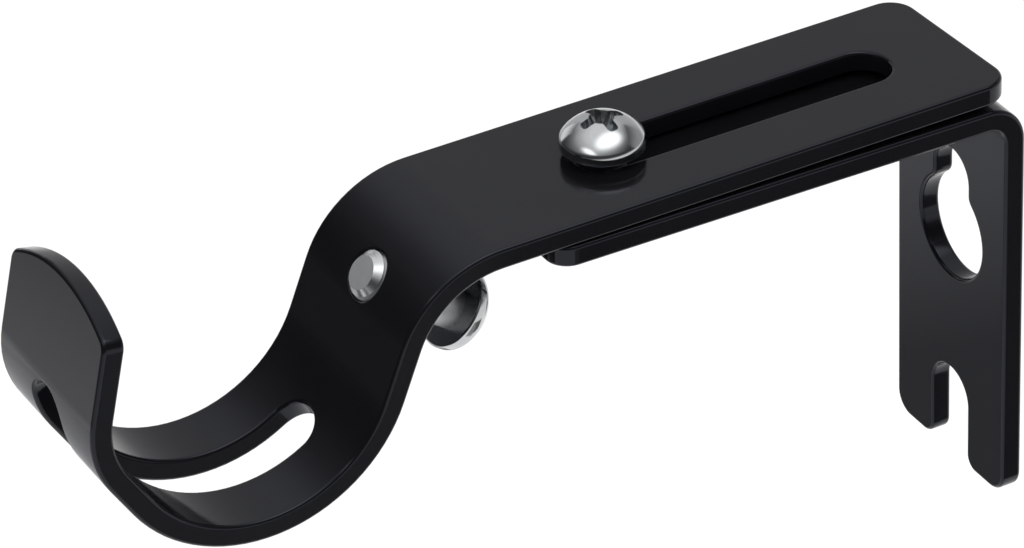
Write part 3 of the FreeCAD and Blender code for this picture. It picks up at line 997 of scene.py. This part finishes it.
@dataclass(frozen=True)
class WhiteSweep:
    """White paper under an even white sky."""

    drop_mm: float = 150.0
    half_width: float = 3.0
    colour: str = "#f4f4f3"
    glow: float = 0.16
    sky_light: float = 0.85
    backdrop_strength: float = 1.0

    def _paper(self) -> bpy.types.Material:
        """White paper: lit by the sky, and lifted to clean white where it is the background.

        Returns:
            The paper.
        """
        material = new_material("white_paper_sweep")
        tree = material.node_tree
        paper = add_node(tree, "ShaderNodeBsdfDiffuse", values={"Color": linear_colour(self.colour)})
        glow = add_node(
            tree, "ShaderNodeEmission", values={"Color": linear_colour(WHITE), "Strength": self.glow})
        lifted = add_node(
            tree, "ShaderNodeAddShader", links={0: paper.outputs["BSDF"], 1: glow.outputs["Emission"]})
        mix = add_node(
            tree, "ShaderNodeMixShader",
            links={"Fac": background_rays(tree), 1: paper.outputs["BSDF"], 2: lifted.outputs["Shader"]})
        add_output(tree, mix.outputs["Shader"])
        return material

    def _sky(self) -> None:
        """Make the world: plain white behind the bracket, and an even light on it."""
        world = bpy.data.worlds.new("studio_sky")
        bpy.context.scene.world = world
        world.use_nodes = True
        tree = world.node_tree
        tree.nodes.clear()
        light, backdrop = (
            add_node(
                tree, "ShaderNodeBackground", values={"Color": linear_colour(WHITE), "Strength": strength})
            for strength in (self.sky_light, self.backdrop_strength))
        mix = add_node(
            tree, "ShaderNodeMixShader",
            links={
                "Fac": background_rays(tree),
                1: light.outputs["Background"],
                2: backdrop.outputs["Background"],
            })
        add_node(tree, "ShaderNodeOutputWorld", links={"Surface": mix.outputs["Shader"]})

    def build(self, lowest: float) -> None:
        """Hang the sky and lay the paper.

        Args:
            lowest: Height of the bracket's lowest point, in metres.
        """
        self._sky()
        bm = bmesh.new()
        bmesh.ops.create_grid(bm, x_segments=1, y_segments=1, size=self.half_width)
        bmesh.ops.translate(bm, verts=bm.verts, vec=(0, 0, lowest - self.drop_mm * MM))
        floor = as_object(bm, "studio_floor")
        floor.data.materials.append(self._paper())
        floor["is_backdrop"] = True


def boards() -> list[Board]:
    """The boards whose mirror images shade the gloss as in the photograph.

    Three of them squarely face the camera's mirror image, in the front of the leg or in the strips' sides.

    Returns:
        The boards.
    """
    camera_in_the_leg = Vector((0.74, 0.39, 0.54))
    camera_in_the_sides = Vector((-0.74, -0.39, 0.54))
    return [
        Board("graded_board_by_the_leg", Vector((-80, -45, -52)), 90, 90, camera_in_the_leg,
              "#8c8d90", "#dcdde0", (-60, -41)),
        Board("grey_board_under_the_lip", Vector((-84, -139, -63)), 150, 80, Vector((0.70, 0.30, 0.65)),
              "#a2a4a8", "#ececee", (-82, -40)),
        Board("grey_board_by_the_side", Vector((173, 37, -109)), 160, 120, camera_in_the_sides,
              "#686865", "#626260", (-150, -90)),
        Board("pale_board_by_the_cup", Vector((158, -18, -105)), 64, 120, camera_in_the_sides,
              "#9c9c99", "#9c9c99", (-120, -60)),
        Board("white_card_left_of_the_screw", Vector((-150, -78, 76)), 62, 92, Vector((1, 0, 0)),
              WHITE, "#7a7a7c", (66, 120)),
        Board("grey_card_behind_the_screw", Vector((15, 90, 93)), 120, 90, Vector((-0.1, -0.9, -0.37)),
              "#b0b0b2", "#6a6a6c", (80, 130)),
    ]


def lamps() -> list[SoftBox]:
    """The lamps that the domed heads mirror as light spots.

    Returns:
        The lamps.
    """
    return [
        SoftBox("overhead_soft_box", Vector((0.28, 0.04, 0.96)), distance=0.8, width=1.3, height=0.7,
                radiance=1.9),
        SoftBox("front_soft_box", Vector((0.21, -0.69, 0.70)), distance=0.8, width=0.75, height=0.2,
                radiance=4.0),
    ]


def unit_axis(joint_name: str) -> Vector:
    """Unit axis of one of the frame's joints.

    Args:
        joint_name: The joint.

    Returns:
        Its axis.
    """
    joint = next(j for j in frame["joints"] if j["name"] == joint_name)
    return Vector(joint["axis"]).normalized()


def main() -> None:
    """Build the bracket's pieces, the camera and the studio."""
    logging.basicConfig(level=logging.INFO, format="%(message)s")
    bpy.context.scene.view_settings.view_transform = "Standard"
    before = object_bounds()
    coat, plating = BlackCoat().build(), ZincPlate().build()
    SteelStrip("wall_bracket", "coated_wall_bracket").build(coat)
    SteelStrip("hook_arm", "coated_hook_arm").build(coat)
    screws = [
        PanHeadScrew("adjusting_screw", "plated_adjusting_screw", -unit_axis("adjusting_screw_travel")),
        PanHeadScrew("pole_locking_screw", "plated_pole_locking_screw", -unit_axis("locking_screw_travel"),
                     plain_length=6.0),
    ]
    for screw in screws:
        screw.build(plating)
    PhotoCamera(Vector((-2.2, -52.09, 22.02))).build()
    WhiteSweep().build(before[0].z)
    DarkRoom().build()
    for prop in [*boards(), *lamps()]:
        prop.build()


if __name__ == "__main__":
    main()
